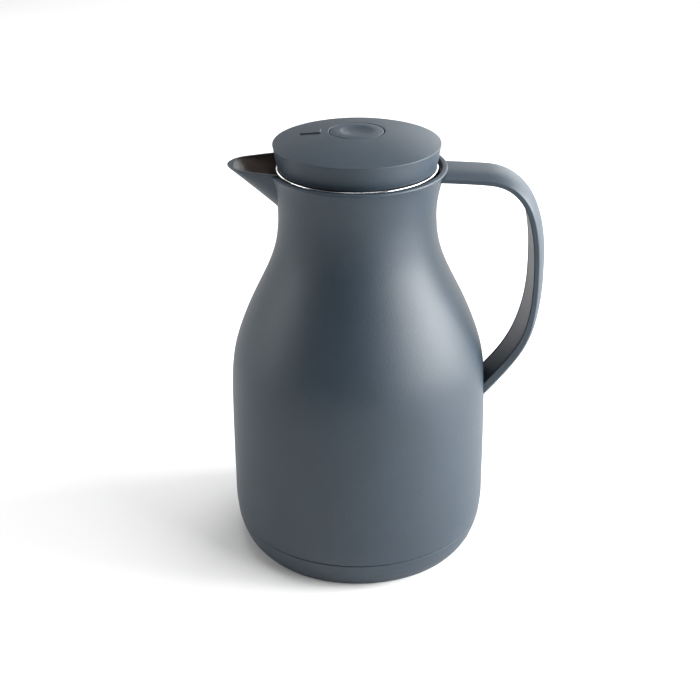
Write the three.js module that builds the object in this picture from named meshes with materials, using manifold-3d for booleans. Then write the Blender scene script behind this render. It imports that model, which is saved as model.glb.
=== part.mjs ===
// Thermal serving jug with a screw-in push-button stopper, in millimetres, +Z up.
// The origin is on the jug's axis at the underside of the base. The spout points to -X, the handle to +X.
import * as THREE from 'three';
import { mergeVertices } from 'three/addons/utils/BufferGeometryUtils.js';
import Module from 'manifold-3d';

const wasm = await Module();
wasm.setup();

// ---- driving dimensions ----
const FINE = 40; // facets round the large visible parts
const COARSE = 24; // facets round the inner parts
const SMALL = 12; // facets round stems and screws

const BODY_OUTLINE = [ // outer skin, radius then height, from the base seam to the collar
  [68.8, 16.1], [69.9, 25], [69.9, 50], [69.5, 85], [67.3, 113], [63.3, 127.5], [56.7, 143.3],
  [48.4, 160.4], [43.4, 174.2], [41.6, 187], [41.8, 198], [43.1, 206], [44.9, 212.5], [46.4, 216.2],
];
const COLLAR_TOP = 217.2;
const COLLAR_RADIUS = 46.8;
const COLLAR_BORE = 43.9;
const SHELL_WALL = 2.3;

const BASE_FOOT_RADIUS = 61.9;
const BASE_FLOOR = 3.8;
const SKIRT_RADIUS = 65.9; // upstand of the base cap inside the shell
const SKIRT_TOP = 26;

const FLASK_OFFSET = 5; // from the outer skin to the outer glass
const GLASS_WALL = 1.6;
const VACUUM_SPACE = 2.2;
const FLASK_TOP = 196.2;
const FLASK_BEND = 50; // height where the straight side turns into the domed bottom
const FLASK_BOTTOM_RISE = 30;

const MOUTH_RING_RADIUS = 42;
const MOUTH_RING_TOP = 217;
const INSERT_BORE = 34.6;
const THREAD_LEAD = 24; // rise per turn of the three-start thread
const THREAD_HEIGHT = 210.3;
const THREAD_ARC = 72;
const THREAD_STARTS = 3;

const LID_BOTTOM = 217.3;
const LID_CREASE_RADIUS = 43.4;
const LID_CREASE = 229.2;
const LID_TOP = 236.3;
const LID_DOME = 285; // dome drop is radius squared over this
const LID_WALL = 2.2;
const BUTTON_RADIUS = 13.85;
const BUTTON_HOLE = 14.25;
const PLUG_RADIUS = 32.6;
const PLUG_TURN = -1.5; // the stopper's stopping angle, seen in its arrow, degrees

const SPOUT_RIM = 218.4;
const SPOUT_LIP = 1.1; // wall at the rim; the floor of the trough is twice as thick
const SPOUT_ROUNDNESS = 1.6; // 2 would be a half ellipse, 1 a V
const SPOUT_PLAN = [[-66.8, 0.6], [-65.3, 6], [-60, 11.9], [-53, 14.9], [-44.6, 17.9], [-37, 19.4]];
const SPOUT_KEEL = [
  [-66.8, 217.6], [-65.2, 216.6], [-63, 214.9], [-60, 212.2], [-54, 206.7], [-48, 201.4], [-42.3, 196.2],
  [-37, 191.1],
];

const HANDLE_PATH = [ // inner face of the handle in the XZ plane
  [40, 212.2], [52, 211.65], [64, 210.85], [71.5, 209.8], [77.3, 207.4], [81.9, 203.6], [85.6, 198.5],
  [88.3, 192], [90.3, 183.6], [91.6, 174], [92.1, 163], [92, 150.5], [90.8, 138.7], [88.2, 127.5],
  [83.8, 117.2], [79.3, 110], [74.9, 104.2], [69.9, 98.2], [62.4, 89.6],
];
const HANDLE_HALF_WIDTH = 15.2;
const HANDLE_LOWER_HALF_WIDTH = 11.6;
// Thickness by share of the length from the collar: at the edges, and the extra along the middle.
const HANDLE_EDGE = [[0, 1.9], [0.2, 2.4], [0.35, 2.8], [0.6, 2.8], [0.8, 3.9], [1, 4.1]];
const HANDLE_CROWN = [
  [0, 3.1], [0.2, 3], [0.35, 3.9], [0.5, 4], [0.62, 3.6], [0.76, 3.1], [0.88, 3.3], [1, 3.6],
];
const HANDLE_SCREW_HEIGHT = 94.5;

// ---- finishes ----
function finish(color, roughness, metalness) {
  return new THREE.MeshStandardMaterial({ color, roughness, metalness });
}
const SLATE = finish(0x4b5761, 0.5, 0);
const DARK = finish(0x2f2b29, 0.55, 0);
const STEEL = finish(0xd8dadb, 0.18, 1);
const GLASS = finish(0xc6cccf, 0.08, 0.6);
const RUBBER = finish(0xd9d8d2, 0.7, 0);
const CUSHION = finish(0x33373a, 0.85, 0);
const WHITE = finish(0xe6e6e2, 0.45, 0);

// ---- solids ----
function solid(geometry) {
  const bare = geometry.index ? geometry.clone() : geometry;
  bare.deleteAttribute('normal');
  bare.deleteAttribute('uv');
  const merged = mergeVertices(bare, 1e-4);
  const corners = merged.index.array;
  const kept = [];
  for (let i = 0; i < corners.length; i += 3) {
    const [a, b, c] = [corners[i], corners[i + 1], corners[i + 2]];
    if (a !== b && b !== c && c !== a) kept.push(a, b, c);
  }
  const vertProperties = new Float32Array(merged.attributes.position.array);
  const triVerts = new Uint32Array(kept);
  return new wasm.Manifold(new wasm.Mesh({ numProp: 3, vertProperties, triVerts }));
}

function geometryOf(manifold) {
  const mesh = manifold.getMesh();
  const geometry = new THREE.BufferGeometry();
  geometry.setAttribute('position', new THREE.BufferAttribute(new Float32Array(mesh.vertProperties), 3));
  geometry.setIndex(new THREE.BufferAttribute(new Uint32Array(mesh.triVerts), 1));
  geometry.computeVertexNormals();
  return geometry;
}

function named(name, manifold, material) {
  const mesh = new THREE.Mesh(geometryOf(manifold), material);
  mesh.name = name;
  return mesh;
}

// A ring or a disc: the outline runs counter-clockwise, radius to the right and height up.
function revolve(outline, facets = FINE) {
  const points = outline.map(([r, z]) => new THREE.Vector2(r, z));
  const first = points[0];
  if (first.x > 0 || points[points.length - 1].x > 0) points.push(first.clone());
  return solid(new THREE.LatheGeometry(points, facets).rotateX(Math.PI / 2));
}

function box(low, high) {
  const size = high.map((value, i) => value - low[i]);
  const centre = high.map((value, i) => (value + low[i]) / 2);
  return solid(new THREE.BoxGeometry(...size).translate(...centre));
}

// A rod along X.
function rodAlongX(radius, from, to, z) {
  const rod = new THREE.CylinderGeometry(radius, radius, to - from, SMALL);
  return solid(rod.rotateZ(Math.PI / 2).translate((from + to) / 2, 0, z));
}

// A closed skin over a row of convex sections with equal numbers of corners.
function loft(sections) {
  const count = sections[0].length;
  const positions = sections.flat().flatMap((p) => [p.x, p.y, p.z]);
  const faces = [];
  for (let s = 0; s < sections.length - 1; s += 1) {
    for (let i = 0; i < count; i += 1) {
      const [a, b] = [s * count + i, s * count + (i + 1) % count];
      faces.push(a, b, b + count, a, b + count, a + count);
    }
  }
  const last = (sections.length - 1) * count;
  for (let i = 1; i < count - 1; i += 1) {
    faces.push(0, i + 1, i);
    faces.push(last, last + i, last + i + 1);
  }
  const geometry = new THREE.BufferGeometry();
  geometry.setAttribute('position', new THREE.Float32BufferAttribute(positions, 3));
  geometry.setIndex(faces);
  return solid(geometry);
}

function smooth(points, divisions) {
  const curve = new THREE.SplineCurve(points.map(([x, y]) => new THREE.Vector2(x, y)));
  return curve.getPoints(divisions).map((p) => [p.x, p.y]);
}

// Linear reading of a smoothed outline: the other coordinate where the given one has this value.
function readAt(outline, key, value) {
  const other = 1 - key;
  const next = Math.max(1, outline.findIndex((p) => p[key] >= value));
  const [low, high] = [outline[next - 1], outline[next]];
  return low[other] + ((high[other] - low[other]) * (value - low[key])) / (high[key] - low[key]);
}

const SKIN = smooth(BODY_OUTLINE, 14);
const skinRadius = (z) => readAt(SKIN, 1, z);
const heights = (from, to, count) => (
  Array.from({ length: count + 1 }, (_, i) => from + ((to - from) * i) / count)
);

// ---- jug: outer shell with collar and spout ----
function shellOuter() {
  const lip = [[COLLAR_RADIUS, COLLAR_TOP - 0.9], [46.3, COLLAR_TOP - 0.15], [45.4, COLLAR_TOP]];
  return revolve([[0, SKIN[0][1]], ...SKIN, ...lip, [0, COLLAR_TOP]]);
}

function shellCavity() {
  const side = heights(196, 30, 7).map((z) => [skinRadius(z) - SHELL_WALL, z]);
  const neck = [[42.6, 212], [40.7, 205], [39.6, 199.5]];
  const outline = [[0, 10], [67, 10], [67, 28], ...side.reverse(), ...neck.reverse()];
  return revolve([...outline, [COLLAR_BORE, 216.6], [COLLAR_BORE + 0.6, 221], [0, 221]]);
}

// Rounded V sections across the spout, set in by the wall where it is the trough.
function spoutSolid(inset, top, stations) {
  const plan = smooth(SPOUT_PLAN, 20);
  const keel = smooth(SPOUT_KEEL, 28);
  const bow = (value) => Math.sign(value) * Math.abs(value) ** (2 / SPOUT_ROUNDNESS);
  const sections = stations.map((x) => {
    const halfWidth = Math.max(readAt(plan, 0, x - inset) - inset * 0.8, 0.4);
    const bottom = Math.min(readAt(keel, 0, x - inset) + inset * 2, SPOUT_RIM - 0.5);
    const lower = heights(0, Math.PI, 10).map((a) => new THREE.Vector3(
      x,
      halfWidth * bow(Math.cos(a)),
      SPOUT_RIM - (SPOUT_RIM - bottom) * bow(Math.sin(a)),
    ));
    const raised = [new THREE.Vector3(x, -halfWidth, top), new THREE.Vector3(x, halfWidth, top)];
    return top > SPOUT_RIM ? [...lower, ...raised] : lower;
  });
  return loft(sections.map((section) => section.reverse()));
}

function outerShell() {
  const spout = spoutSolid(0, SPOUT_RIM, [-66.7, -66.2, -65.3, -63.5, -61, -58, -54, -50, -46, -42, -37.5]);
  const trough = spoutSolid(
    SPOUT_LIP, SPOUT_RIM + 4, [-65.2, -64.4, -63, -61, -58, -54, -50, -46, -42, -35.5],
  );
  const tongueSlot = box([38, -6.35, 211.65], [50, 6.35, 214.15]);
  const screwHole = rodAlongX(2.2, 60, 72, HANDLE_SCREW_HEIGHT);
  return shellOuter().add(spout).subtract(shellCavity()).subtract(trough)
    .subtract(tongueSlot).subtract(screwHole);
}

// ---- jug: base ----
function baseCap() {
  return revolve([
    [0, 0], [32, 0], [33.5, 1.5], [52.5, 1.5], [54, 0], [61.2, 0], [BASE_FOOT_RADIUS, 0.5],
    [64, 3.1], [65.9, 6.5], [67.5, 11], [68.7, 15.8], [SKIRT_RADIUS, 15.8],
    [SKIRT_RADIUS, 19.8], [64.4, 19.8], [64.4, 22.2], [SKIRT_RADIUS, 22.2], [SKIRT_RADIUS, SKIRT_TOP],
    [62.6, SKIRT_TOP], [62.6, 8.5], [59, BASE_FLOOR], [0, BASE_FLOOR],
  ]);
}

function ringOfRound(radius, height, thickness, facets) {
  return revolve(heights(0, 2 * Math.PI, 6).slice(0, 6).map((a) => [
    radius + thickness * Math.cos(a),
    height + thickness * Math.sin(a),
  ]), facets);
}

function flaskCushion() {
  return revolve([[12, 4.1], [26, 4.1], [26, 22], [19, 20.8], [12, 19.9]], COARSE);
}

// ---- jug: double-walled flask ----
function domedBottom(radius, rise, steps) {
  return heights(Math.PI / 2, 0, steps).map((a) => [
    radius * Math.cos(a),
    FLASK_BEND - rise * Math.sin(a),
  ]);
}

function flaskSide(offset, top, count) {
  return heights(FLASK_BEND, top, count).slice(1).map((z) => [skinRadius(z) - offset, z]);
}

function flaskOuterWall() {
  const outer = FLASK_OFFSET;
  const inner = FLASK_OFFSET + GLASS_WALL;
  const radius = skinRadius(FLASK_BEND);
  const top = FLASK_TOP - 2;
  const bottom = domedBottom(radius - outer, FLASK_BOTTOM_RISE, 5).slice(1);
  const liner = domedBottom(radius - inner, FLASK_BOTTOM_RISE - GLASS_WALL, 5);
  return revolve([
    [0, 11], [2.2, 12], [3.4, 17], [6, 20.1], ...bottom, ...flaskSide(outer, top, 7),
    ...flaskSide(inner, top, 7).reverse(), ...liner.reverse(),
  ], COARSE);
}

function flaskInnerWall() {
  const outer = FLASK_OFFSET + GLASS_WALL + VACUUM_SPACE;
  const inner = outer + GLASS_WALL;
  const radius = skinRadius(FLASK_BEND);
  const neck = skinRadius(FLASK_TOP - 2);
  const bottom = domedBottom(radius - outer, FLASK_BOTTOM_RISE - 4, 5);
  const liner = domedBottom(radius - inner, FLASK_BOTTOM_RISE - 4 - GLASS_WALL, 5);
  const rolled = [
    [neck - outer, FLASK_TOP - 1.7], [neck - FLASK_OFFSET, FLASK_TOP - 1.7],
    [neck - FLASK_OFFSET, FLASK_TOP - 0.6], [neck - FLASK_OFFSET - 0.8, FLASK_TOP],
    [neck - inner + 0.8, FLASK_TOP], [neck - inner, FLASK_TOP - 0.6],
  ];
  return revolve([
    ...bottom, ...flaskSide(outer, FLASK_TOP - 5, 7), ...rolled,
    ...flaskSide(inner, FLASK_TOP - 5, 7).reverse(), ...liner.reverse(),
  ], COARSE);
}

// One of the three pads that keep the glass walls apart.
function flaskSpacer(turn) {
  const middle = skinRadius(62) - FLASK_OFFSET - GLASS_WALL - VACUUM_SPACE / 2;
  const pad = new THREE.CylinderGeometry(4, 4, 1, SMALL).rotateZ(Math.PI / 2).translate(middle - 0.15, 0, 62);
  return solid(pad.rotateZ(turn));
}

// ---- jug: mouth ----
function mouthGasket() {
  return revolve([
    [32.4, 196.5], [38.6, 196.5], [39.2, 197.3], [39.2, 198.2], [32.4, 198.2],
  ], COARSE);
}

// Short ridges of a three-start thread, on a wall of the given radius.
function threadRidges(rootRadius, tipRadius, firstAngle) {
  const steps = 5;
  const ridges = Array.from({ length: THREAD_STARTS }, (_, start) => {
    const centre = firstAngle + (360 / THREAD_STARTS) * start;
    const angles = heights(-THREAD_ARC / 2, THREAD_ARC / 2, steps);
    return loft(angles.map((offset) => {
      const angle = THREE.MathUtils.degToRad(centre + offset);
      const z = THREAD_HEIGHT + (THREAD_LEAD * offset) / 360;
      const corner = (radius, height) => new THREE.Vector3(
        radius * Math.cos(angle),
        radius * Math.sin(angle),
        height,
      );
      const section = [
        corner(rootRadius, z - 1), corner(tipRadius, z - 0.5),
        corner(tipRadius, z + 0.5), corner(rootRadius, z + 1),
      ];
      return tipRadius > rootRadius ? section.reverse() : section;
    }));
  });
  return ridges.reduce((all, ridge) => all.add(ridge));
}

function neckInsert() {
  const ring = revolve([
    [37, 198.5], [39.2, 198.5], [39.2, 204.6], [37.6, 206.6], [37, 207.4], [37, 214.2], [41.4, 214.2],
    [41.4, 215.5],
    [INSERT_BORE, 215.5], [INSERT_BORE, 206.8], [37, 204],
  ]);
  const pourWindow = box([-45, -12, 199.8], [-30, 12, 203.8]);
  return ring.add(threadRidges(INSERT_BORE + 0.6, INSERT_BORE - 1.4, 60)).subtract(pourWindow);
}

function mouthRing() {
  return revolve([
    [35.2, 215.8], [MOUTH_RING_RADIUS - 0.5, 215.8], [MOUTH_RING_RADIUS, 216.1], [MOUTH_RING_RADIUS, 216.7],
    [MOUTH_RING_RADIUS - 0.4, MOUTH_RING_TOP], [35.6, MOUTH_RING_TOP], [35.2, 216.6],
  ]);
}

// ---- jug: handle ----
function handleStations(count) {
  const curve = new THREE.SplineCurve(HANDLE_PATH.map(([x, z]) => new THREE.Vector2(x, z)));
  return heights(0, 1, count).map((t) => {
    const point = curve.getPointAt(t);
    const along = curve.getTangentAt(t);
    const narrowing = THREE.MathUtils.smoothstep(-point.y, -132, -104);
    const halfWidth = THREE.MathUtils.lerp(HANDLE_HALF_WIDTH, HANDLE_LOWER_HALF_WIDTH, narrowing);
    return { t, point, out: new THREE.Vector2(-along.y, along.x), halfWidth };
  });
}

// The profile gives [share of the half width, height above the inner face] at each share of the length.
function handleLoft(profile, inset, count) {
  return loft(handleStations(count).map(({ t, point, out, halfWidth }) => profile(t).map(([across, height]) => (
    new THREE.Vector3(
      point.x + out.x * height,
      across * (halfWidth - inset),
      point.y + out.y * height,
    )
  )).reverse()));
}

function crownedProfile(t) {
  const crown = heights(-1, 1, 6).map((across) => [
    across,
    readAt(HANDLE_EDGE, 0, t) + readAt(HANDLE_CROWN, 0, t) * (1 - Math.abs(across) ** 2.6),
  ]);
  return [[-1, 0], ...crown, [1, 0]];
}

function flatProfile(low, high) {
  return () => [[-1, low], [-1, high], [1, high], [1, low]];
}

function shellEnvelope() {
  const grown = SKIN.map(([r, z]) => [r + 0.35, z]);
  const lip = [[COLLAR_RADIUS + 0.4, COLLAR_TOP - 1.1], [COLLAR_RADIUS + 0.4, COLLAR_TOP + 3]];
  return revolve([[0, 10], ...grown.slice(0, -1), ...lip, [0, COLLAR_TOP + 3]]);
}

function handleOuter() {
  const bar = handleLoft(crownedProfile, 0, 28);
  const recess = handleLoft(flatProfile(-1, 1.7), 1.6, 28);
  const tongue = box([39.6, -6, 212], [52, 6, 213.8]);
  const hook = box([39.6, -6, 209.8], [41, 6, 212.3]);
  const screwHole = rodAlongX(1.9, 60, 73.4, HANDLE_SCREW_HEIGHT);
  return bar.subtract(recess).subtract(shellEnvelope()).add(tongue).add(hook).subtract(screwHole);
}

function handleCover() {
  const strip = handleLoft(flatProfile(0.15, 1.4), 1.9, 28);
  const tongueRoom = box([35, -8, 205], [53, 8, 215]);
  const screwRoom = rodAlongX(2.1, 60, 75, HANDLE_SCREW_HEIGHT);
  return strip.subtract(shellEnvelope()).subtract(tongueRoom).subtract(screwRoom);
}

function handleScrew() {
  const head = rodAlongX(3.4, 64.6, 65.8, HANDLE_SCREW_HEIGHT);
  const shank = rodAlongX(1.6, 65.5, 73, HANDLE_SCREW_HEIGHT);
  return head.add(shank);
}

// ---- stopper ----
const domeHeight = (r) => LID_TOP - (r * r) / LID_DOME;

// Raised arrow that shows where the open side of the stopper points.
function lidArrow() {
  const corners = [[-29, 0], [-18.4, 3.3], [-18.4, -3.3]];
  const layer = (shrink, rise) => corners.map(([x, y]) => {
    const px = x + (x < -20 ? shrink : -shrink);
    return new THREE.Vector3(px, y * (1 - shrink / 3), domeHeight(Math.abs(px)) + rise);
  });
  return loft([layer(0, -1), layer(0, 0.5), layer(0.4, 0.8)].map((section) => section.reverse()));
}

function lidCover() {
  const radii = heights(LID_CREASE_RADIUS - 1.2, BUTTON_HOLE + 0.5, 4);
  const dome = radii.map((r) => [r, domeHeight(r)]);
  const underside = heights(16.6, 39.2, 2).map((r) => [r, domeHeight(r) - LID_WALL]);
  const cover = revolve([
    [41.2, LID_BOTTOM], [LID_CREASE_RADIUS, LID_CREASE - 0.7], [LID_CREASE_RADIUS - 0.3, LID_CREASE], ...dome,
    [BUTTON_HOLE, domeHeight(BUTTON_HOLE) - 0.5], [BUTTON_HOLE, 224.5], [16.6, 224.5],
    ...underside, [39, LID_BOTTOM + 0.2], [39.4, LID_BOTTOM],
  ]);
  return cover.add(lidArrow());
}

function stopperBody() {
  const cup = revolve([
    [28, 189.5], [28, 197.4], [30.4, 197.4], [PLUG_RADIUS, 199.6], [PLUG_RADIUS, 217.9], [38.2, 217.9],
    [38.2, 219.9], [2.9, 219.9], [2.9, 208], [4.9, 208], [4.9, 217.6], [30.4, 217.6], [30.4, 201.4],
    [26, 198.8], [26, 189.5],
  ]);
  const slotAcrossX = box([-40, -9, 201.2], [40, 9, 206]);
  const slotAcrossY = box([-9, -40, 201.2], [9, 40, 206]);
  const keepCore = revolve([[0, 195], [8, 195], [8, 222], [0, 222]], SMALL);
  const slots = slotAcrossX.add(slotAcrossY).subtract(keepCore);
  return cup.add(threadRidges(PLUG_RADIUS - 0.6, PLUG_RADIUS + 1.6, 0)).subtract(slots);
}

function valveSeat() {
  return revolve([
    [14.6, 187], [29.3, 187], [29.6, 187.4], [29.6, 189.2], [25.6, 189.2], [25.6, 192.5],
    [23.6, 192.5], [23.6, 189.2], [14.6, 189.2],
  ], COARSE);
}

// Soft ring with two lips that closes against the flask's neck.
function stopperSeal() {
  return revolve([
    [28.3, 189.6], [29.9, 189.6], [30.6, 190.8], [29.9, 192.4], [29.9, 194], [30.6, 195.6], [29.9, 197],
    [28.3, 197],
  ], COARSE);
}

function buttonCap() {
  return revolve([
    [12.2, 226.4], [BUTTON_RADIUS, 226.4], [BUTTON_RADIUS, 235], [13.4, 235.5], [11, 235.8], [8.6, 235.85],
    [7.2, 235.3], [4, 234.5], [0, 234.2], [0, 232.2], [2.7, 232.2], [2.7, 228.5], [4.6, 228.5],
    [4.6, 232.2], [12.2, 232.2],
  ], COARSE);
}

function valveStem() {
  return revolve([[0, 181], [3.6, 181], [3.6, 183.9], [2.3, 183.9], [2.3, 231.9], [0, 231.9]], SMALL);
}

function valveDisc() {
  return revolve([
    [2.7, 184.2], [18.4, 184.2], [19, 184.8], [19, 186.7], [18, 186.7], [18, 185.2], [15, 185.2],
    [15, 186.7], [2.7, 186.7],
  ], COARSE);
}

function valveSeal() {
  return revolve([[15.3, 185.5], [17.7, 185.5], [17.7, 186.8], [15.3, 186.8]], COARSE);
}

function buttonSpring() {
  const [radius, wire, bottom, top, turns] = [8, 0.55, 220.2, 231.9, 4];
  const points = heights(0, 1, turns * 10).map((t) => new THREE.Vector3(
    radius * Math.cos(2 * Math.PI * turns * t),
    radius * Math.sin(2 * Math.PI * turns * t),
    bottom + wire + (top - bottom - 2 * wire) * t,
  ));
  const section = new THREE.Shape();
  section.absarc(0, 0, wire, 0, 2 * Math.PI, false);
  return solid(new THREE.ExtrudeGeometry(section, {
    steps: turns * 10,
    curveSegments: 3,
    bevelEnabled: false,
    extrudePath: new THREE.CatmullRomCurve3(points),
  }));
}

// ---- assembly ----
const jug = new THREE.Group();
jug.add(
  named('outer_shell', outerShell(), SLATE),
  named('base_cap', baseCap(), SLATE),
  named('base_seal', ringOfRound(65.5, 21, 0.85, FINE), CUSHION),
  named('flask_cushion', flaskCushion(), CUSHION),
  named('flask_outer_wall', flaskOuterWall(), GLASS),
  named('flask_inner_wall', flaskInnerWall(), GLASS),
  named('mouth_gasket', mouthGasket(), RUBBER),
  named('neck_insert', neckInsert(), DARK),
  named('mouth_ring', mouthRing(), STEEL),
  named('handle_outer', handleOuter(), SLATE),
  named('handle_cover', handleCover(), SLATE),
  named('handle_screw', handleScrew(), STEEL),
);
for (let i = 0; i < 3; i += 1) {
  jug.add(named(`flask_spacer_${i + 1}`, flaskSpacer((i * 2 * Math.PI) / 3), WHITE));
}

const stopper = new THREE.Group();
stopper.rotation.z = THREE.MathUtils.degToRad(PLUG_TURN);
stopper.add(
  named('lid_cover', lidCover(), SLATE),
  named('stopper_body', stopperBody(), DARK),
  named('valve_seat', valveSeat(), DARK),
  named('stopper_seal', stopperSeal(), RUBBER),
  named('button', buttonCap(), SLATE),
  named('button_spring', buttonSpring(), STEEL),
  named('valve_stem', valveStem(), WHITE),
  named('valve_disc', valveDisc(), WHITE),
  named('valve_seal', valveSeal(), RUBBER),
);

const assembly = new THREE.Group();
assembly.add(jug, stopper);
export default assembly;
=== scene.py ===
import math

import bmesh
import bpy
import numpy as np
from mathutils import Matrix, Vector


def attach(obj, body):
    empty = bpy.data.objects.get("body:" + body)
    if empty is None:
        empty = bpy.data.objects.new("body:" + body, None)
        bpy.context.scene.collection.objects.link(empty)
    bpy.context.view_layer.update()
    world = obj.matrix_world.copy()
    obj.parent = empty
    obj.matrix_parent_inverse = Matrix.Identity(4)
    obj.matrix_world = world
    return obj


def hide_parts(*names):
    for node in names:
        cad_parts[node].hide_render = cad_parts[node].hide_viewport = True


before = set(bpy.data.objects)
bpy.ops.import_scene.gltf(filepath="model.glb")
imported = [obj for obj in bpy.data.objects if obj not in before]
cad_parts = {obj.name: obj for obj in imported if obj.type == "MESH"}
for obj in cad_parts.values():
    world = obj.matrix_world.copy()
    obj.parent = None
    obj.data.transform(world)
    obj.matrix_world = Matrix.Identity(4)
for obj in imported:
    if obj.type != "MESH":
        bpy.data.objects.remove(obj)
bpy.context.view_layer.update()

MM = 0.001
SCENE = bpy.context.scene

# ---- driving sizes, in millimetres ----
BODY_OUTLINE = [  # outer skin, radius then height
    (68.8, 16.2), (69.7, 25), (69.8, 36), (69.8, 50), (69.7, 70), (69.45, 88), (68.9, 101), (67.2, 114.5),
    (63.3, 127.5), (56.7, 143.3), (48.4, 160.4), (43.45, 174.2), (41.6, 187), (41.75, 198), (43.1, 206),
    (44.9, 212.5), (46.4, 216.0),
]
SHELL_WALL = 2.3
COLLAR_RADIUS = 46.8
COLLAR_TOP = 217.2
FLASK_TOP = 196.2
FLASK_BEND = 50.0
FLASK_BOTTOM_RISE = 30.0
INNER_FLASK_LIFT = 4.0  # height of the inner glass above the outer at the bottom
OUTER_GLASS = 5.0  # set in from the outer skin
GLASS_WALL = 1.6
VACUUM_SPACE = 2.2

SPOUT_TIP = -66.8
SPOUT_ROOT = -37.0  # inside the neck's wall
SPOUT_RIM = 218.4
SPOUT_LIP = 1.1  # wall at the rim; the floor of the trough is twice as thick
SPOUT_ROUNDNESS = 1.6  # 2 would be a half ellipse, 1 a V
SPOUT_PLAN = [(-66.8, 0.0), (-65.3, 6.0), (-60, 11.9), (-53, 14.9), (-44.6, 17.9), (-36, 19.6)]
SPOUT_KEEL = [
    (-66.8, 217.6), (-65.2, 216.6), (-63, 214.9), (-60, 212.2), (-54, 206.7), (-48, 201.4), (-42.3, 196.2),
    (-36, 190.1),
]

HANDLE_PATH = [  # inner face of the handle in the XZ plane
    (40, 212.2), (52, 211.65), (64, 210.85), (71.5, 209.8), (77.3, 207.4), (81.9, 203.6), (85.6, 198.5),
    (88.3, 192), (90.3, 183.6), (91.6, 174), (92.1, 163), (92, 150.5), (90.8, 138.7), (88.2, 127.5),
    (83.8, 117.2), (79.3, 110), (74.9, 104.2), (69.9, 98.2), (62.4, 89.6),
]
HANDLE_HALF_WIDTH = 15.2
HANDLE_LOWER_HALF_WIDTH = 11.6
HANDLE_NARROWS_BELOW = 132.0
HANDLE_NARROWS_OVER = 28.0
# thickness by share of the length from the collar: at the edges, and the extra along the middle
HANDLE_EDGE = [(0, 1.9), (0.2, 2.4), (0.35, 2.8), (0.6, 2.8), (0.8, 3.9), (1, 4.1)]
HANDLE_CROWN = [(0, 3.1), (0.2, 3), (0.35, 3.9), (0.5, 4), (0.62, 3.6), (0.76, 3.1), (0.88, 3.3), (1, 3.6)]

LID_BOTTOM = 217.3
LID_CREASE_RADIUS = 43.4
LID_CREASE = 229.2
LID_TOP = 236.25
LID_DOME = 285.0
LID_WALL = 2.2
BUTTON_RADIUS = 13.85
BUTTON_HOLE = 14.25
PLUG_RADIUS = 32.6
PLUG_TURN = math.radians(-1.5)
INSERT_BORE = 34.6
THREAD_LEAD = 24.0
THREAD_HEIGHT = 210.3
THREAD_ARC = 72.0
THREAD_STARTS = 3

ROUND = 192  # facets round the large parts
ROUND_SMALL = 96  # facets round the small parts


# ---- camera, made first ----
def make_camera():
    data = bpy.data.cameras.new("camera")
    data.sensor_width = 36.0
    data.lens = 72.0
    data.shift_x = -0.0116
    data.shift_y = 0.0007
    data.clip_end = 20.0
    camera = bpy.data.objects.new("camera", data)
    SCENE.collection.objects.link(camera)
    camera.location = (0.0, -0.6897, 0.4471)
    down = Matrix.Rotation(math.radians(90.0 - 25.98), 4, "X")
    roll = Matrix.Rotation(math.radians(-0.336), 4, "Z")
    camera.rotation_euler = (down @ roll).to_euler()
    SCENE.camera = camera


# ---- curves and outlines ----
def spread(low, high, count):
    return [low + (high - low) * i / count for i in range(count + 1)]


class Spline:
    """A natural cubic through (key, value) knots whose keys rise."""

    def __init__(self, knots):
        x = np.array([k[0] for k in knots], float)
        y = np.array([k[1] for k in knots], float)
        n = len(x)
        h = np.diff(x)
        a = np.eye(n)
        b = np.zeros(n)
        for i in range(1, n - 1):
            a[i, i - 1:i + 2] = h[i - 1], 2 * (h[i - 1] + h[i]), h[i]
            b[i] = 6 * ((y[i + 1] - y[i]) / h[i] - (y[i] - y[i - 1]) / h[i - 1])
        self.x, self.y, self.h, self.m = x, y, h, np.linalg.solve(a, b)

    def __call__(self, key):
        i = int(np.clip(np.searchsorted(self.x, key) - 1, 0, len(self.x) - 2))
        h = self.h[i]
        p, q = (self.x[i + 1] - key) / h, (key - self.x[i]) / h
        bend = ((p ** 3 - p) * self.m[i] + (q ** 3 - q) * self.m[i + 1]) * h * h / 6
        return float(p * self.y[i] + q * self.y[i + 1] + bend)


skin_radius = Spline([(z, r) for r, z in BODY_OUTLINE])
SKIN_LOW, SKIN_HIGH = BODY_OUTLINE[0][1], BODY_OUTLINE[-1][1]


def skin(low=SKIN_LOW, high=SKIN_HIGH, count=110, inset=0.0):
    return [(skin_radius(z) - inset, z) for z in spread(low, high, count)]


def corner(before, at, after, radius, steps):
    """Points of the arc that rounds one corner of an outline."""
    a = (Vector(before) - Vector(at))
    b = (Vector(after) - Vector(at))
    reach_limit = 0.48 * min(a.length, b.length)
    a.normalize()
    b.normalize()
    half = a.angle(b) / 2
    if half > math.pi / 2 - 0.01:
        return [tuple(at)]
    reach = min(radius / math.tan(half), reach_limit)
    centre = Vector(at) + (a + b).normalized() * (reach / math.cos(half))
    start = Vector(at) + a * reach - centre
    end = Vector(at) + b * reach - centre
    turn = start.angle_signed(end)
    return [tuple(centre + Matrix.Rotation(-turn * t, 2) @ start) for t in spread(0.0, 1.0, steps)]


def rounded(points, steps=5):
    """A closed outline from (r, z) or (r, z, corner radius) entries."""
    flat = [p[:2] for p in points]
    made = []
    for i, p in enumerate(points):
        if len(p) == 3 and p[2] > 0:
            made += corner(flat[i - 1], flat[i], flat[(i + 1) % len(flat)], p[2], steps)
        else:
            made.append(p[:2])
    return made


# ---- meshes ----
def mesh_object(name, vertices, faces):
    mesh = bpy.data.meshes.new(name)
    mesh.from_pydata([tuple(c * MM for c in v) for v in vertices], [], faces)
    mesh.update()
    piece = bpy.data.objects.new(name, mesh)
    SCENE.collection.objects.link(piece)
    return piece


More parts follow.
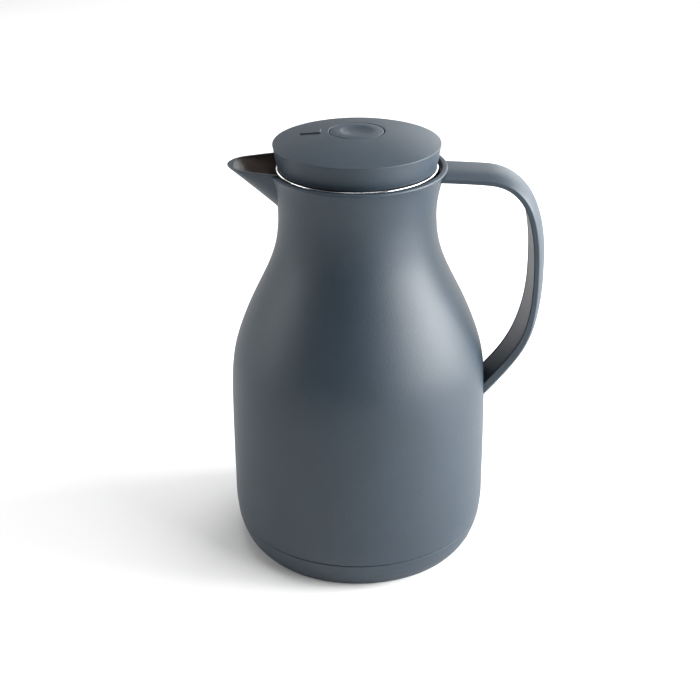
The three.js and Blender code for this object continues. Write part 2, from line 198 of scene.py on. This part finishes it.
def lathe(name, outline, facets=ROUND):
    """Turns a closed outline about Z. The outline runs counter-clockwise, radius right and height up."""
    vertices, rings = [], []
    for r, z in outline:
        if r < 1e-6:
            rings.append([len(vertices)] * facets)
            vertices.append((0.0, 0.0, z))
        else:
            rings.append(list(range(len(vertices), len(vertices) + facets)))
            angles = [2 * math.pi * i / facets for i in range(facets)]
            vertices += [(r * math.cos(a), r * math.sin(a), z) for a in angles]
    faces = []
    for j, low in enumerate(rings):
        high = rings[(j + 1) % len(rings)]
        for i in range(facets):
            k = (i + 1) % facets
            loop = list(dict.fromkeys([low[i], low[k], high[k], high[i]]))
            if len(loop) > 2:
                faces.append(loop)
    return mesh_object(name, vertices, faces)


def loft(name, sections):
    """A closed skin over sections with equal numbers of corners, seen counter-clockwise from behind."""
    count = len(sections[0])
    vertices = [p for section in sections for p in section]
    faces = []
    for s in range(len(sections) - 1):
        for i in range(count):
            k = (i + 1) % count
            faces.append([s * count + i, s * count + k, (s + 1) * count + k, (s + 1) * count + i])
    faces.append(list(range(count))[::-1])
    faces.append([(len(sections) - 1) * count + i for i in range(count)])
    piece = mesh_object(name, vertices, faces)
    work = bmesh.new()
    work.from_mesh(piece.data)
    bmesh.ops.triangulate(work, faces=[f for f in work.faces if len(f.verts) > 4])
    bmesh.ops.recalc_face_normals(work, faces=work.faces)
    work.to_mesh(piece.data)
    work.free()
    return piece


def box(name, low, high):
    corners = [(x, y, z) for x in (low[0], high[0]) for y in (low[1], high[1]) for z in (low[2], high[2])]
    faces = [(0, 1, 3, 2), (4, 6, 7, 5), (0, 4, 5, 1), (2, 3, 7, 6), (0, 2, 6, 4), (1, 5, 7, 3)]
    return mesh_object(name, corners, faces)


def combine(piece, other, operation):
    """Joins or cuts two closed meshes, and removes the second."""
    modifier = piece.modifiers.new("boolean", "BOOLEAN")
    modifier.operation = operation
    modifier.solver = "MANIFOLD"
    modifier.object = other
    view = bpy.context.evaluated_depsgraph_get()
    view.update()
    made = bpy.data.meshes.new_from_object(piece.evaluated_get(view))
    piece.modifiers.clear()
    old = piece.data
    piece.data = made
    made.name = old.name
    bpy.data.meshes.remove(old)
    bpy.data.meshes.remove(other.data)
    return piece


def bevel_where(piece, chosen, width, sharp=40.0, segments=3):
    """Rounds the sharp edges that a test of their middle point picks, in millimetres."""
    work = bmesh.new()
    work.from_mesh(piece.data)
    edges = []
    for edge in work.edges:
        if len(edge.link_faces) == 2 and edge.calc_face_angle(0.0) > math.radians(sharp):
            middle = (edge.verts[0].co + edge.verts[1].co) / 2 / MM
            if chosen(middle):
                edges.append(edge)
    bmesh.ops.bevel(
        work, geom=edges, offset=width * MM, segments=segments, profile=0.5,
        affect="EDGES", clamp_overlap=True,
    )
    work.to_mesh(piece.data)
    work.free()


def smooth_shade(piece, sharp=38.0):
    """Smooth faces with hard edges only where two faces meet at more than the given angle."""
    work = bmesh.new()
    work.from_mesh(piece.data)
    bmesh.ops.remove_doubles(work, verts=work.verts, dist=1e-7)
    for face in work.faces:
        face.smooth = True
    for edge in work.edges:
        edge.smooth = edge.calc_face_angle(0.0) < math.radians(sharp)
    work.to_mesh(piece.data)
    work.free()
    weighted = piece.modifiers.new("weighted", "WEIGHTED_NORMAL")
    weighted.keep_sharp = True
    weighted.weight = 50


def finish_piece(piece, body, material, slot, *nodes):
    smooth_shade(piece)
    piece.data.materials.clear()
    piece.data.materials.append(material)
    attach(piece, body)
    if nodes:
        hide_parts(*nodes)
    return piece


# ---- materials ----
def new_material(name):
    material = bpy.data.materials.new(name)
    material.use_nodes = True
    tree = material.node_tree
    tree.nodes.clear()
    shader = tree.nodes.new("ShaderNodeBsdfPrincipled")
    output = tree.nodes.new("ShaderNodeOutputMaterial")
    tree.links.new(shader.outputs["BSDF"], output.inputs["Surface"])
    return material, tree, shader


def noise(tree, scale, detail=2.0, roughness=0.5, stretch=None):
    place = tree.nodes.new("ShaderNodeTexCoord")
    texture = tree.nodes.new("ShaderNodeTexNoise")
    texture.inputs["Scale"].default_value = scale
    texture.inputs["Detail"].default_value = detail
    texture.inputs["Roughness"].default_value = roughness
    if stretch is None:
        tree.links.new(place.outputs["Object"], texture.inputs["Vector"])
    else:
        mapping = tree.nodes.new("ShaderNodeMapping")
        mapping.inputs["Scale"].default_value = stretch
        tree.links.new(place.outputs["Object"], mapping.inputs["Vector"])
        tree.links.new(mapping.outputs["Vector"], texture.inputs["Vector"])
    return texture.outputs["Fac"]


def ramp(tree, value, low, high, from_low=0.35, from_high=0.65):
    """Spreads a noise value between two numbers."""
    spreader = tree.nodes.new("ShaderNodeMapRange")
    spreader.inputs["From Min"].default_value = from_low
    spreader.inputs["From Max"].default_value = from_high
    spreader.inputs["To Min"].default_value = low
    spreader.inputs["To Max"].default_value = high
    tree.links.new(value, spreader.inputs["Value"])
    return spreader.outputs["Result"]


def two_tone(tree, value, first, second):
    mixer = tree.nodes.new("ShaderNodeMix")
    mixer.data_type = "RGBA"
    mixer.inputs["A"].default_value = (*first, 1.0)
    mixer.inputs["B"].default_value = (*second, 1.0)
    tree.links.new(value, mixer.inputs["Factor"])
    return mixer.outputs["Result"]


def add_bump(tree, shader, height, strength, distance):
    bump = tree.nodes.new("ShaderNodeBump")
    bump.inputs["Strength"].default_value = strength
    bump.inputs["Distance"].default_value = distance
    tree.links.new(height, bump.inputs["Height"])
    tree.links.new(bump.outputs["Normal"], shader.inputs["Normal"])


def moulded(name, dark, light, rough_low, rough_high, grain=2000.0, bump=0.7, specular=0.5, sheen=0.0):
    """Fine spark-eroded plastic: a sub-millimetre grain, faint cloudy tone and uneven gloss."""
    material, tree, shader = new_material(name)
    cloud = ramp(tree, noise(tree, 45.0, 3.0), 0.0, 1.0)
    fine = noise(tree, grain, 2.0, 0.6)
    tree.links.new(two_tone(tree, cloud, dark, light), shader.inputs["Base Color"])
    tree.links.new(ramp(tree, fine, rough_low, rough_high), shader.inputs["Roughness"])
    shader.inputs["Specular IOR Level"].default_value = specular
    shader.inputs["Sheen Weight"].default_value = sheen
    shader.inputs["Sheen Roughness"].default_value = 0.5
    add_bump(tree, shader, fine, bump, 0.00012)
    return material


def trough_painted_shade(base):
    """The slate plastic with painted shade: dark brown down in the trough behind the lip."""
    material = base.copy()
    material.name = "slate_trough_painted_shade"
    tree = material.node_tree
    shader = next(n for n in tree.nodes if n.type == "BSDF_PRINCIPLED")
    slate = shader.inputs["Base Color"].links[0].from_socket
    place = tree.nodes.new("ShaderNodeTexCoord")
    parts = tree.nodes.new("ShaderNodeSeparateXYZ")
    tree.links.new(place.outputs["Object"], parts.inputs["Vector"])
    # painted shade: the colour turns dark brown between 63.5 mm and 58.5 mm out from the axis, towards the
    # neck
    depth = ramp(tree, parts.outputs["X"], 0.0, 1.0, -0.0635, -0.0585)
    mixer = tree.nodes.new("ShaderNodeMix")
    mixer.data_type = "RGBA"
    mixer.inputs["B"].default_value = (0.026, 0.014, 0.009, 1.0)
    tree.links.new(depth, mixer.inputs["Factor"])
    tree.links.new(slate, mixer.inputs["A"])
    tree.links.new(mixer.outputs["Result"], shader.inputs["Base Color"])
    return material


def metal(name, colour, rough_low, rough_high, stretch):
    material, tree, shader = new_material(name)
    shader.inputs["Metallic"].default_value = 1.0
    lines = noise(tree, 60.0, 3.0, 0.6, stretch)
    tone = ramp(tree, noise(tree, 90.0, 2.0), 0.0, 1.0)
    darker = tuple(c * 0.9 for c in colour)
    tree.links.new(two_tone(tree, tone, darker, colour), shader.inputs["Base Color"])
    tree.links.new(ramp(tree, lines, rough_low, rough_high), shader.inputs["Roughness"])
    add_bump(tree, shader, lines, 0.05, 0.00005)
    return material


def silvered(name):
    """Mirror-silvered glass with faint waves and a light haze."""
    material, tree, shader = new_material(name)
    shader.inputs["Metallic"].default_value = 1.0
    shader.inputs["Coat Weight"].default_value = 0.6
    waves = noise(tree, 35.0, 2.0)
    haze = ramp(tree, noise(tree, 120.0, 3.0), 0.0, 1.0)
    tree.links.new(two_tone(tree, haze, (0.62, 0.64, 0.66), (0.78, 0.79, 0.8)), shader.inputs["Base Color"])
    tree.links.new(ramp(tree, haze, 0.05, 0.12, 0.0, 1.0), shader.inputs["Roughness"])
    add_bump(tree, shader, waves, 0.15, 0.0004)
    return material


def soft_rubber(name, dark, light, clear=0.0):
    material, tree, shader = new_material(name)
    cloud = ramp(tree, noise(tree, 70.0, 3.0), 0.0, 1.0)
    fine = noise(tree, 1800.0, 2.0)
    tree.links.new(two_tone(tree, cloud, dark, light), shader.inputs["Base Color"])
    tree.links.new(ramp(tree, fine, 0.5, 0.7), shader.inputs["Roughness"])
    shader.inputs["Subsurface Weight"].default_value = clear
    shader.inputs["Subsurface Radius"].default_value = (0.002, 0.002, 0.002)
    add_bump(tree, shader, fine, 0.2, 0.0001)
    return material


slate = moulded("slate", (0.0135, 0.0255, 0.038), (0.0155, 0.0285, 0.0435), 0.48, 0.56)
# slate with painted shade down in the spout's trough
slate_trough_painted_shade = trough_painted_shade(slate)
dark_plastic = moulded("dark_plastic", (0.016, 0.013, 0.012), (0.022, 0.018, 0.016), 0.45, 0.6)
white_plastic = moulded("white_plastic", (0.62, 0.61, 0.57), (0.68, 0.67, 0.63), 0.38, 0.5, 1500.0, 0.12)
steel = metal("polished_steel", (0.82, 0.83, 0.84), 0.12, 0.2, (1.0, 1.0, 30.0))
spring_wire = metal("spring_steel", (0.5, 0.5, 0.5), 0.25, 0.4, (20.0, 20.0, 1.0))
mirror_glass = silvered("silvered_glass")
silicone = soft_rubber("silicone", (0.55, 0.54, 0.5), (0.63, 0.62, 0.58), 0.3)
black_rubber = soft_rubber("black_rubber", (0.018, 0.018, 0.019), (0.028, 0.028, 0.03))


# ---- jug: shell with collar and spout ----
def shell_outline():
    lip = [
        (COLLAR_RADIUS, COLLAR_TOP - 0.9), (COLLAR_RADIUS - 0.05, COLLAR_TOP - 0.45),
        (COLLAR_RADIUS - 0.3, COLLAR_TOP - 0.12), (COLLAR_RADIUS - 0.7, COLLAR_TOP),
    ]
    inner_lip = [(44.4, COLLAR_TOP), (44.1, COLLAR_TOP - 0.15), (43.95, COLLAR_TOP - 0.5)]
    step = [(43.3, 214.6), (42.7, 214.4), (42.4, 212.0), (40.7, 205.0), (39.6, 199.5)]
    side = skin(30, 196, 70, SHELL_WALL)[::-1]
    foot = [(67.0, 28.0), (67.0, SKIN_LOW + 0.4), (67.3, SKIN_LOW), (68.4, SKIN_LOW), (68.7, SKIN_LOW + 0.1)]
    return foot[3:] + skin(SKIN_LOW + 0.35) + lip + inner_lip + step + side + foot[:3]


def spout_stations(start):
    """More stations near the tip, where the plan turns round."""
    length = SPOUT_ROOT - start
    return [start + length * t * t for t in spread(0.0, 1.0, 70)]


def bow(value):
    """Bends a sine or cosine so that the section runs between a half ellipse and a V."""
    return math.copysign(abs(value) ** (2 / SPOUT_ROUNDNESS), value)


def spout_solid(name, inset, top):
    """The spout's outer body, or its trough when inset by the wall and carried up past the rim."""
    plan = Spline([(math.sqrt(x - SPOUT_TIP), w) for x, w in SPOUT_PLAN])
    keel = Spline(SPOUT_KEEL)
    sections = []
    for x in spout_stations(SPOUT_TIP + inset * 0.7 + 0.02):
        outer = max(x - inset * 0.7, SPOUT_TIP)
        half = max(plan(math.sqrt(outer - SPOUT_TIP)) - inset * 0.75, 0.15)
        low = min(keel(outer) + inset * 2, SPOUT_RIM - 0.25)
        curve = [(x, half * bow(math.cos(a)), SPOUT_RIM - (SPOUT_RIM - low) * bow(math.sin(a)))
                 for a in spread(0, math.pi, 44)]
        if top > SPOUT_RIM:
            curve += [(x, -half, top), (x, half, top)]
        sections.append(curve)
    return loft(name, sections)


def make_shell():
    outer = lathe("outer_shell_fine", shell_outline())
    spout = spout_solid("spout", 0.0, SPOUT_RIM)
    bore = lathe("bore", [(0, 150), (39.6, 150), (39.6, 199.5), (40.7, 205), (42.4, 212), (42.7, 214.4),
                          (43.3, 214.6), (43.95, COLLAR_TOP - 0.5), (44.0, 230), (0, 230)])
    combine(spout, bore, "DIFFERENCE")
    combine(outer, spout, "UNION")
    combine(outer, spout_solid("trough", SPOUT_LIP, SPOUT_RIM + 4), "DIFFERENCE")
    bevel_where(outer, lambda m: m.x < -41 and m.z > SPOUT_RIM - 0.25, 0.3)
    finish_piece(outer, "jug", slate, "slate_plastic", "outer_shell")
    # second material: slate with painted shade, given below to the faces inside the trough
    outer.data.materials.append(slate_trough_painted_shade)
    for face in outer.data.polygons:
        centre = face.center / MM
        towards_inside = face.normal.z > 0.15 or face.normal.y * centre.y < 0
        if centre.x < -38 and abs(centre.y) < 18 and 195 < centre.z < SPOUT_RIM - 0.3 and towards_inside:
            face.material_index = 1


# ---- jug: base and flask ----
def make_base():
    cap = lathe("base_cap_fine", rounded([
        (0, 0), (30.5, 0, 0.5), (31.6, 1.1, 0.4), (33.5, 1.5), (52.5, 1.5, 0.5), (54, 0, 0.5), (61.5, 0, 1.0),
        (64, 3.1, 6), (65.9, 6.5, 8), (67.5, 11.0, 9), (68.75, 15.9, 0.3), (65.9, 15.8, 0.1),
        (65.9, 19.8), (64.4, 19.8), (64.4, 22.2), (65.9, 22.2), (65.9, 26, 0.4),
        (62.6, 26, 0.4), (62.6, 8.5, 2), (59, 3.8, 2), (0, 3.8),
    ]))
    finish_piece(cap, "jug", slate, "slate_plastic", "base_cap")
    ring = [(65.5 + 0.85 * math.cos(a), 21 + 0.85 * math.sin(a)) for a in spread(0, 2 * math.pi, 16)[:-1]]
    finish_piece(lathe("base_seal_fine", ring), "jug", black_rubber, "black_rubber", "base_seal")
    cushion = lathe("flask_cushion_fine", rounded([
        (12, 4.1, 1), (26, 4.1, 1), (26, 22, 1), (19, 20.8), (12, 19.9, 1),
    ]), ROUND_SMALL)
    finish_piece(cushion, "jug", black_rubber, "black_rubber", "flask_cushion")


def dome(radius, rise, count=16):
    return [(radius * math.cos(a), FLASK_BEND - rise * math.sin(a)) for a in spread(math.pi / 2, 0, count)]


def glass_side(inset, top, count=50):
    return skin(FLASK_BEND, top, count, inset)[1:]


def make_flask():
    wall = skin_radius(FLASK_BEND)
    outer, inner = OUTER_GLASS, OUTER_GLASS + GLASS_WALL
    tip = [(0, 11), (1.4, 11.3), (2.2, 12), (3.0, 15), (3.6, 18), (6, 20.1)]
    jacket = tip + dome(wall - outer, FLASK_BOTTOM_RISE)[2:] + glass_side(outer, FLASK_TOP - 2)
    jacket += glass_side(inner, FLASK_TOP - 2)[::-1]
    jacket += dome(wall - inner, FLASK_BOTTOM_RISE - GLASS_WALL)[::-1]
    finish_piece(lathe("flask_outer_wall_fine", jacket, ROUND_SMALL), "jug", mirror_glass, "silvered_glass",
                 "flask_outer_wall")
    outer = inner + VACUUM_SPACE
    inner = outer + GLASS_WALL
    neck = skin_radius(FLASK_TOP - 2)
    roll = rounded([
        (neck - outer, FLASK_TOP - 1.7, 0.3), (neck - OUTER_GLASS, FLASK_TOP - 1.7, 0.2),
        (neck - OUTER_GLASS, FLASK_TOP, 0.8), (neck - inner, FLASK_TOP, 0.8), (neck - inner, FLASK_TOP - 3),
    ])
    rise = FLASK_BOTTOM_RISE - INNER_FLASK_LIFT
    vessel = dome(wall - outer, rise) + glass_side(outer, FLASK_TOP - 5) + roll
    vessel += glass_side(inner, FLASK_TOP - 5)[::-1] + dome(wall - inner, rise - GLASS_WALL)[::-1]
    finish_piece(lathe("flask_inner_wall_fine", vessel), "jug", mirror_glass, "silvered_glass",
                 "flask_inner_wall")


# ---- jug: mouth ----
def thread_ridges(name, root, tip, first):
    """Short trapezoid ridges on the starts of the thread, with run-outs at both ends."""
    ridges = None
    for start in range(THREAD_STARTS):
        sections = []
        for offset in spread(-THREAD_ARC / 2, THREAD_ARC / 2, 36):
            angle = math.radians(first + 360.0 / THREAD_STARTS * start + offset)
            z = THREAD_HEIGHT + THREAD_LEAD * offset / 360.0
            fade = min(1.0, (THREAD_ARC / 2 - abs(offset)) / 6.0 + 0.25)
            top = root + (tip - root) * fade
            corners = [(root, z - 1), (top, z - 0.5), (top, z + 0.5), (root, z + 1)]
            sections.append([(r * math.cos(angle), r * math.sin(angle), h) for r, h in corners])
        ridge = loft(f"{name}_{start}", sections)
        ridges = ridge if ridges is None else combine(ridges, ridge, "UNION")
    return ridges


def make_mouth():
    insert = lathe("neck_insert_fine", rounded([
        (37, 198.5, 0.2), (39.2, 198.5, 0.3), (39.2, 204.6, 0.5), (37.6, 206.6, 0.5), (37, 207.4),
        (37, 214.2, 0.4), (41.4, 214.2, 0.2), (41.4, 215.5, 0.3), (INSERT_BORE, 215.5, 0.4),
        (INSERT_BORE, 206.8, 0.3), (37, 204, 0.4),
    ]))
    combine(insert, thread_ridges("insert_thread", INSERT_BORE + 0.6, INSERT_BORE - 1.4, 60.0), "UNION")
    combine(insert, box("window", (-45, -12, 199.8), (-30, 12, 203.8)), "DIFFERENCE")
    finish_piece(insert, "jug", dark_plastic, "dark_plastic", "neck_insert")
    ring = lathe("mouth_ring_fine", rounded([
        (35.2, 215.8, 0.3), (42, 215.8, 0.55), (42, 217, 0.6), (35.2, 217, 0.5),
    ]))
    finish_piece(ring, "jug", steel, "polished_steel", "mouth_ring")
    gasket = lathe("mouth_gasket_fine", rounded([
        (32.4, 196.5, 0.4), (38.6, 196.5, 0.4), (39.2, 197.3, 0.3), (39.2, 198.2, 0.3), (32.4, 198.2, 0.4),
    ]))
    finish_piece(gasket, "jug", silicone, "silicone", "mouth_gasket")


# ---- jug: handle ----
def handle_frames(count):
    """Points along the inner face: share of the length, place, outward direction and half width."""
    knots = [Vector(p) for p in HANDLE_PATH]
    reach = [0.0]
    for a, b in zip(knots, knots[1:]):
        reach.append(reach[-1] + (b - a).length)
    across = Spline([(s, p.x) for s, p in zip(reach, knots)])
    up = Spline([(s, p.y) for s, p in zip(reach, knots)])
    frames = []
    for s in spread(0.0, reach[-1], count):
        x, z = across(s), up(s)
        ahead = min(s + 0.5, reach[-1])
        back = max(s - 0.5, 0.0)
        along = Vector((across(ahead) - across(back), up(ahead) - up(back))).normalized()
        narrow = min(max((HANDLE_NARROWS_BELOW - z) / HANDLE_NARROWS_OVER, 0.0), 1.0)
        narrow = narrow * narrow * (3 - 2 * narrow)
        half = HANDLE_HALF_WIDTH + (HANDLE_LOWER_HALF_WIDTH - HANDLE_HALF_WIDTH) * narrow
        frames.append((s / reach[-1], x, z, Vector((-along.y, along.x)), half))
    return frames


def handle_loft(name, half_section, count=170):
    """Lofts a section given for one half of the width at each share of the length."""
    sections = []
    for share, x, z, out, half in handle_frames(count):
        right = half_section(share, half)
        left = [(-y, n) for y, n in right[::-1] if y > 1e-6]
        ring = [(x + out.x * n, y, z + out.y * n) for y, n in left + right]
        sections.append(ring)
    return loft(name, sections)


handle_edge = Spline(HANDLE_EDGE)
handle_crown = Spline(HANDLE_CROWN)


def crowned_half(share, half):
    """From the middle of the recess floor, over the rim and side, to the middle of the crown."""
    rim, depth = 1.6, 1.7
    edge, crown_rise = handle_edge(share), handle_crown(share)
    crown = [(half * u, edge + crown_rise * (1 - abs(u) ** 2.6)) for u in spread(0.93, 0.0, 18)]
    corner_line = rounded([
        (half - rim - 3, depth), (half - rim, depth, 0.2), (half - rim, 0, 0.35), (half, 0, 0.6),
        (half, edge, 0.9), crown[0], (half * 0.5, 20),
    ])[1:-2]
    return [(0.0, depth), (half * 0.5, depth)] + corner_line + crown


def cover_half(share, half):
    """The inlay that fills the recess of the handle's inner face."""
    inset = 1.75
    return [(0.0, 0.15), (half * 0.5, 0.15)] + rounded([
        (half * 0.7, 0.15), (half - inset, 0.15, 0.35), (half - inset, 1.5, 0.1), (half * 0.7, 1.5),
    ])[1:-1] + [(half * 0.5, 1.5), (0.0, 1.5)]


def envelope(name, inset):
    """The shell's outer skin drawn in a little, to cut the handle's hidden roots."""
    low, high = 60.0, SKIN_HIGH
    side = [(skin_radius(z) - inset, z) for z in spread(low, high, 90)]
    collar = COLLAR_RADIUS - inset
    return lathe(name, [(0, low)] + side + [(collar, high + 0.4), (collar, 240), (0, 240)])


def make_handle():
    bar = handle_loft("handle_outer_fine", crowned_half)
    combine(bar, envelope("handle_root", 0.9), "DIFFERENCE")
    finish_piece(bar, "jug", slate, "slate_plastic", "handle_outer")
    cover = handle_loft("handle_cover_fine", cover_half)
    combine(cover, envelope("cover_root", 0.9), "DIFFERENCE")
    finish_piece(cover, "jug", slate, "slate_plastic", "handle_cover")


# ---- stopper ----
def dome_height(r):
    return LID_TOP - r * r / LID_DOME


def turned(piece):
    piece.data.transform(Matrix.Rotation(PLUG_TURN, 4, "Z"))
    return piece


def lid_arrow():
    """Raised wedge that points to the spout."""
    corners = [(-29.0, 0.0), (-18.4, 3.3), (-18.4, -3.3)]
    sections = []
    for shrink, rise in [(0.0, -1.0), (0.0, 0.4), (0.08, 0.6), (0.3, 0.75)]:
        middle = Vector((-21.9, 0.0))
        ring = []
        for x, y in corners:
            p = Vector((x, y))
            p += (middle - p).normalized() * shrink
            ring.append((p.x, p.y, dome_height(p.length) + rise))
        sections.append(ring)
    return loft("lid_arrow", sections)


def make_lid():
    top = [(r, dome_height(r)) for r in spread(LID_CREASE_RADIUS - 0.3, BUTTON_HOLE + 0.6, 40)]
    under = [(r, dome_height(r) - LID_WALL) for r in spread(16.6, 39.4, 16)]
    crease = rounded([
        (41.2, LID_BOTTOM), (LID_CREASE_RADIUS, LID_CREASE + 0.3, 0.5), top[4], (20, 300),
    ], 8)[1:-2]
    hole = rounded([
        top[-2], (BUTTON_HOLE, dome_height(BUTTON_HOLE), 0.55), (BUTTON_HOLE, 224.5, 0.3),
        (16.6, 224.5, 0.3), under[1],
    ])[1:-1]
    foot = rounded([
        under[-2], (39.2, 224), (39.0, LID_BOTTOM, 0.4), (41.2, LID_BOTTOM, 0.5), (42.5, 226),
    ])[1:-1]
    cover = lathe("lid_cover_fine", foot + crease + top[5:-1] + hole + under[1:-1])
    combine(cover, lid_arrow(), "UNION")
    finish_piece(turned(cover), "stopper", slate, "slate_plastic", "lid_cover")


def make_plug():
    cup = lathe("stopper_body_fine", rounded([
        (28, 189.5, 0.2), (28, 197.4), (30.4, 197.4, 0.4), (PLUG_RADIUS, 199.6, 0.6),
        (PLUG_RADIUS, 217.9, 0.5), (38.2, 217.9, 0.3), (38.2, 219.9, 0.4), (2.9, 219.9, 0.3),
        (2.9, 208, 0.2), (4.9, 208, 0.4),
        (4.9, 217.6, 1), (30.4, 217.6, 1), (30.4, 201.4, 0.5), (26, 198.8, 0.5), (26, 189.5, 0.2),
    ]))
    combine(cup, thread_ridges("plug_thread", PLUG_RADIUS - 0.6, PLUG_RADIUS + 1.6, 0.0), "UNION")
    for angle in range(4):
        slot = box("slot", (26, -9, 201.2), (40, 9, 206))
        slot.data.transform(Matrix.Rotation(math.pi / 2 * angle, 4, "Z"))
        combine(cup, slot, "DIFFERENCE")
    finish_piece(turned(cup), "stopper", dark_plastic, "dark_plastic", "stopper_body")
    seat = lathe("valve_seat_fine", rounded([
        (14.6, 187, 0.4), (29.6, 187, 0.5), (29.6, 189.2, 0.4), (25.6, 189.2), (25.6, 192.5, 0.3),
        (23.6, 192.5, 0.3), (23.6, 189.2), (14.6, 189.2, 0.4),
    ]))
    finish_piece(seat, "stopper", dark_plastic, "dark_plastic", "valve_seat")
    seal = lathe("stopper_seal_fine", rounded([
        (28.3, 189.6, 0.2), (29.7, 189.6, 0.3), (30.6, 190.8, 0.5), (29.9, 192.4, 0.8), (29.9, 194, 0.8),
        (30.6, 195.6, 0.5), (29.7, 197, 0.3), (28.3, 197, 0.2),
    ]))
    finish_piece(seal, "seal_ring", silicone, "silicone", "stopper_seal")


def make_spring():
    radius, wire, low, high, turns = 8.0, 0.55, 220.2, 231.9, 4.0
    curve = bpy.data.curves.new("button_spring_fine", "CURVE")
    curve.dimensions = "3D"
    curve.bevel_depth = wire * MM
    curve.bevel_resolution = 4
    curve.use_fill_caps = True
    points = [
        (radius * math.cos(2 * math.pi * turns * t), radius * math.sin(2 * math.pi * turns * t),
         low + wire + (high - low - 2 * wire) * t)
        for t in spread(0.0, 1.0, 120)
    ]
    line = curve.splines.new("POLY")
    line.points.add(len(points) - 1)
    for point, place in zip(line.points, points):
        point.co = (*(c * MM for c in place), 1.0)
    shape = bpy.data.objects.new("spring_curve", curve)
    SCENE.collection.objects.link(shape)
    view = bpy.context.evaluated_depsgraph_get()
    mesh = bpy.data.meshes.new_from_object(shape.evaluated_get(view))
    bpy.data.objects.remove(shape)
    spring = bpy.data.objects.new("button_spring_fine", mesh)
    SCENE.collection.objects.link(spring)
    finish_piece(spring, "stopper", spring_wire, "spring_steel", "button_spring")


def make_button():
    bowl = [
        (9.4, 235.82), (8.7, 235.73), (7.9, 235.5), (6.9, 235.12), (5.6, 234.75), (4.2, 234.5), (2.8, 234.34),
        (1.4, 234.26), (0, 234.24),
    ]
    crown = [(12.9, 235.58), (12.2, 235.7), (11.2, 235.8), (10.2, 235.84)]
    cap = lathe("button_fine", rounded([
        (12.2, 226.4, 0.2), (BUTTON_RADIUS, 226.4, 0.3), (BUTTON_RADIUS, 235.45, 0.6), *crown, *bowl,
        (0, 232.2), (2.7, 232.2), (2.7, 228.5, 0.2), (4.6, 228.5, 0.2), (4.6, 232.2, 0.4), (12.2, 232.2, 0.6),
    ]), ROUND_SMALL)
    finish_piece(cap, "push_button", slate, "slate_plastic", "button")
    stem = lathe("valve_stem_fine", rounded([
        (0, 181), (3.6, 181, 0.6), (3.6, 183.9, 0.3), (2.3, 183.9), (2.3, 231.9, 0.3), (0, 231.9),
    ]), 48)
    finish_piece(stem, "push_button", white_plastic, "white_plastic", "valve_stem")
    disc = lathe("valve_disc_fine", rounded([
        (2.7, 184.2, 0.3), (19, 184.2, 0.8), (19, 186.7, 0.3), (18, 186.7, 0.1), (18, 185.2), (15, 185.2),
        (15, 186.7, 0.1), (2.7, 186.7, 0.3),
    ]))
    finish_piece(disc, "push_button", white_plastic, "white_plastic", "valve_disc")
    seal = lathe("valve_seal_fine", rounded([
        (15.3, 185.5, 0.1), (17.7, 185.5, 0.1), (17.7, 186.8, 0.4), (15.3, 186.8, 0.4),
    ]))
    finish_piece(seal, "push_button", silicone, "silicone", "valve_seal")


# ---- pieces that keep their CAD shape ----
def dress_cad_nodes():
    kept = {
        "flask_spacer_1": white_plastic, "flask_spacer_2": white_plastic, "flask_spacer_3": white_plastic,
        "handle_screw": spring_wire,
    }
    for node, material in kept.items():
        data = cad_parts[node].data
        data.materials.clear()
        data.materials.append(material)


# ---- stage ----
STUDIO_LIGHTS = [  # name, degrees round from +X, degrees above the floor, watts
    ("key_right", 0, 18, 41), ("key_right_front", 330, 18, 19), ("key_right_back", 30, 18, 8),
    ("back", 62, 18, 6.5), ("back_left", 135, 18, 3), ("fill_left", 180, 18, 8), ("overhead", 0, 88, 10),
]
SOFTBOX_SIZE = 0.7  # the stage is in metres
SOFTBOX_DISTANCE = 1.3
SOFTBOX_AIM = (0.0, 0.0, 0.12)
BACKDROP_PLACE = (0.0, 1.7, 0.9)
BACKDROP_SIZE = (3.0, 0.8)
BACKDROP_POWER = 16.0


def soft_panel(name, size, power, place):
    data = bpy.data.lights.new(name, "AREA")
    data.shape = "RECTANGLE"
    data.size, data.size_y = size
    data.energy = power
    panel = bpy.data.objects.new(name, data)
    panel.location = place
    SCENE.collection.objects.link(panel)
    return panel


def studio_light(name, round_the_jug, above, power):
    """A square softbox on a sphere round the middle of the jug, facing it."""
    flat = math.cos(above)
    way = Vector((math.cos(round_the_jug) * flat, math.sin(round_the_jug) * flat, math.sin(above)))
    place = Vector(SOFTBOX_AIM) + way * SOFTBOX_DISTANCE
    panel = soft_panel(name, (SOFTBOX_SIZE, SOFTBOX_SIZE), power, place)
    panel.rotation_euler = way.to_track_quat("Z", "Y").to_euler()


def make_stage():
    floor = mesh_object("floor", [(-4000, -4000, 0), (4000, -4000, 0), (4000, 6000, 0), (-4000, 6000, 0)],
                        [(0, 1, 2, 3)])
    material, tree, shader = new_material("pale_floor")
    tone = ramp(tree, noise(tree, 3.0, 2.0), 0.0, 1.0)
    tree.links.new(two_tone(tree, tone, (0.73, 0.73, 0.73), (0.75, 0.75, 0.75)), shader.inputs["Base Color"])
    shader.inputs["Roughness"].default_value = 0.9
    shader.inputs["Specular IOR Level"].default_value = 0.1
    floor.data.materials.append(material)
    world = bpy.data.worlds.new("studio")
    world.use_nodes = True
    world.node_tree.nodes["Background"].inputs["Color"].default_value = (1.0, 1.0, 1.0, 1.0)
    world.node_tree.nodes["Background"].inputs["Strength"].default_value = 0.12
    SCENE.world = world
    for name, round_the_jug, above, power in STUDIO_LIGHTS:
        studio_light(name, math.radians(round_the_jug), math.radians(above), power)
    soft_panel("backdrop", BACKDROP_SIZE, BACKDROP_POWER, BACKDROP_PLACE)
    SCENE.view_settings.view_transform = "Standard"
    SCENE.view_settings.look = "None"


make_camera()
make_shell()
make_base()
make_flask()
make_mouth()
make_handle()
make_lid()
make_plug()
make_spring()
make_button()
dress_cad_nodes()
make_stage()
